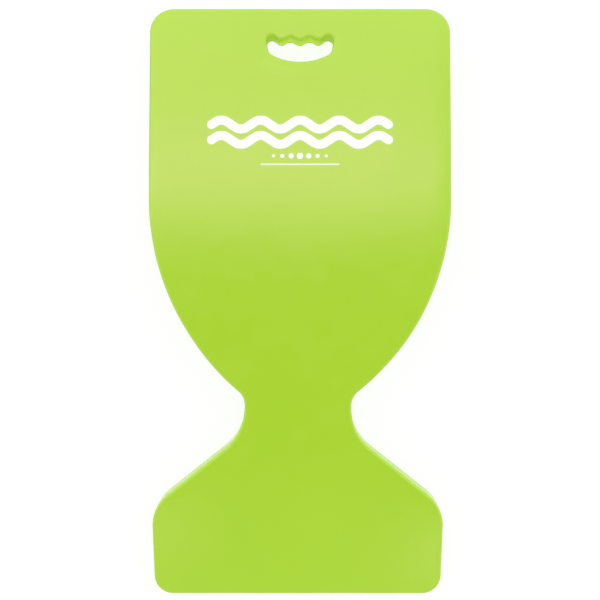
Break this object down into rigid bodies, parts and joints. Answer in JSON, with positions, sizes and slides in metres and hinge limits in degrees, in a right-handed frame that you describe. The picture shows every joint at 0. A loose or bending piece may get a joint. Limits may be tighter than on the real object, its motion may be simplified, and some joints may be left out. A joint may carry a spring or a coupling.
{
  "type": "foam pool saddle",
  "caption": "Vinyl-coated closed-cell foam float slab with a narrow waist to straddle and a scalloped hand hold; also serves as a pad to kneel or sit on.",
  "frame": {"origin": "middle of the footprint, on the floor that the back rests on", "axes": "+Y along the pad towards the hand hold end, +X across the pad, +Z out of the printed front face"},
  "size_m": [0.431, 0.841, 0.0501],
  "materials": {
    "foam": "closed-cell foam, matt",
    "vinyl": "lime green dipped vinyl, satin",
    "ink": "white screen ink, matt"
  },
  "bodies": {
    "root": {"foam_core": "foam", "vinyl_coat": "vinyl", "front_print": "ink"}
  },
  "joints": []
}
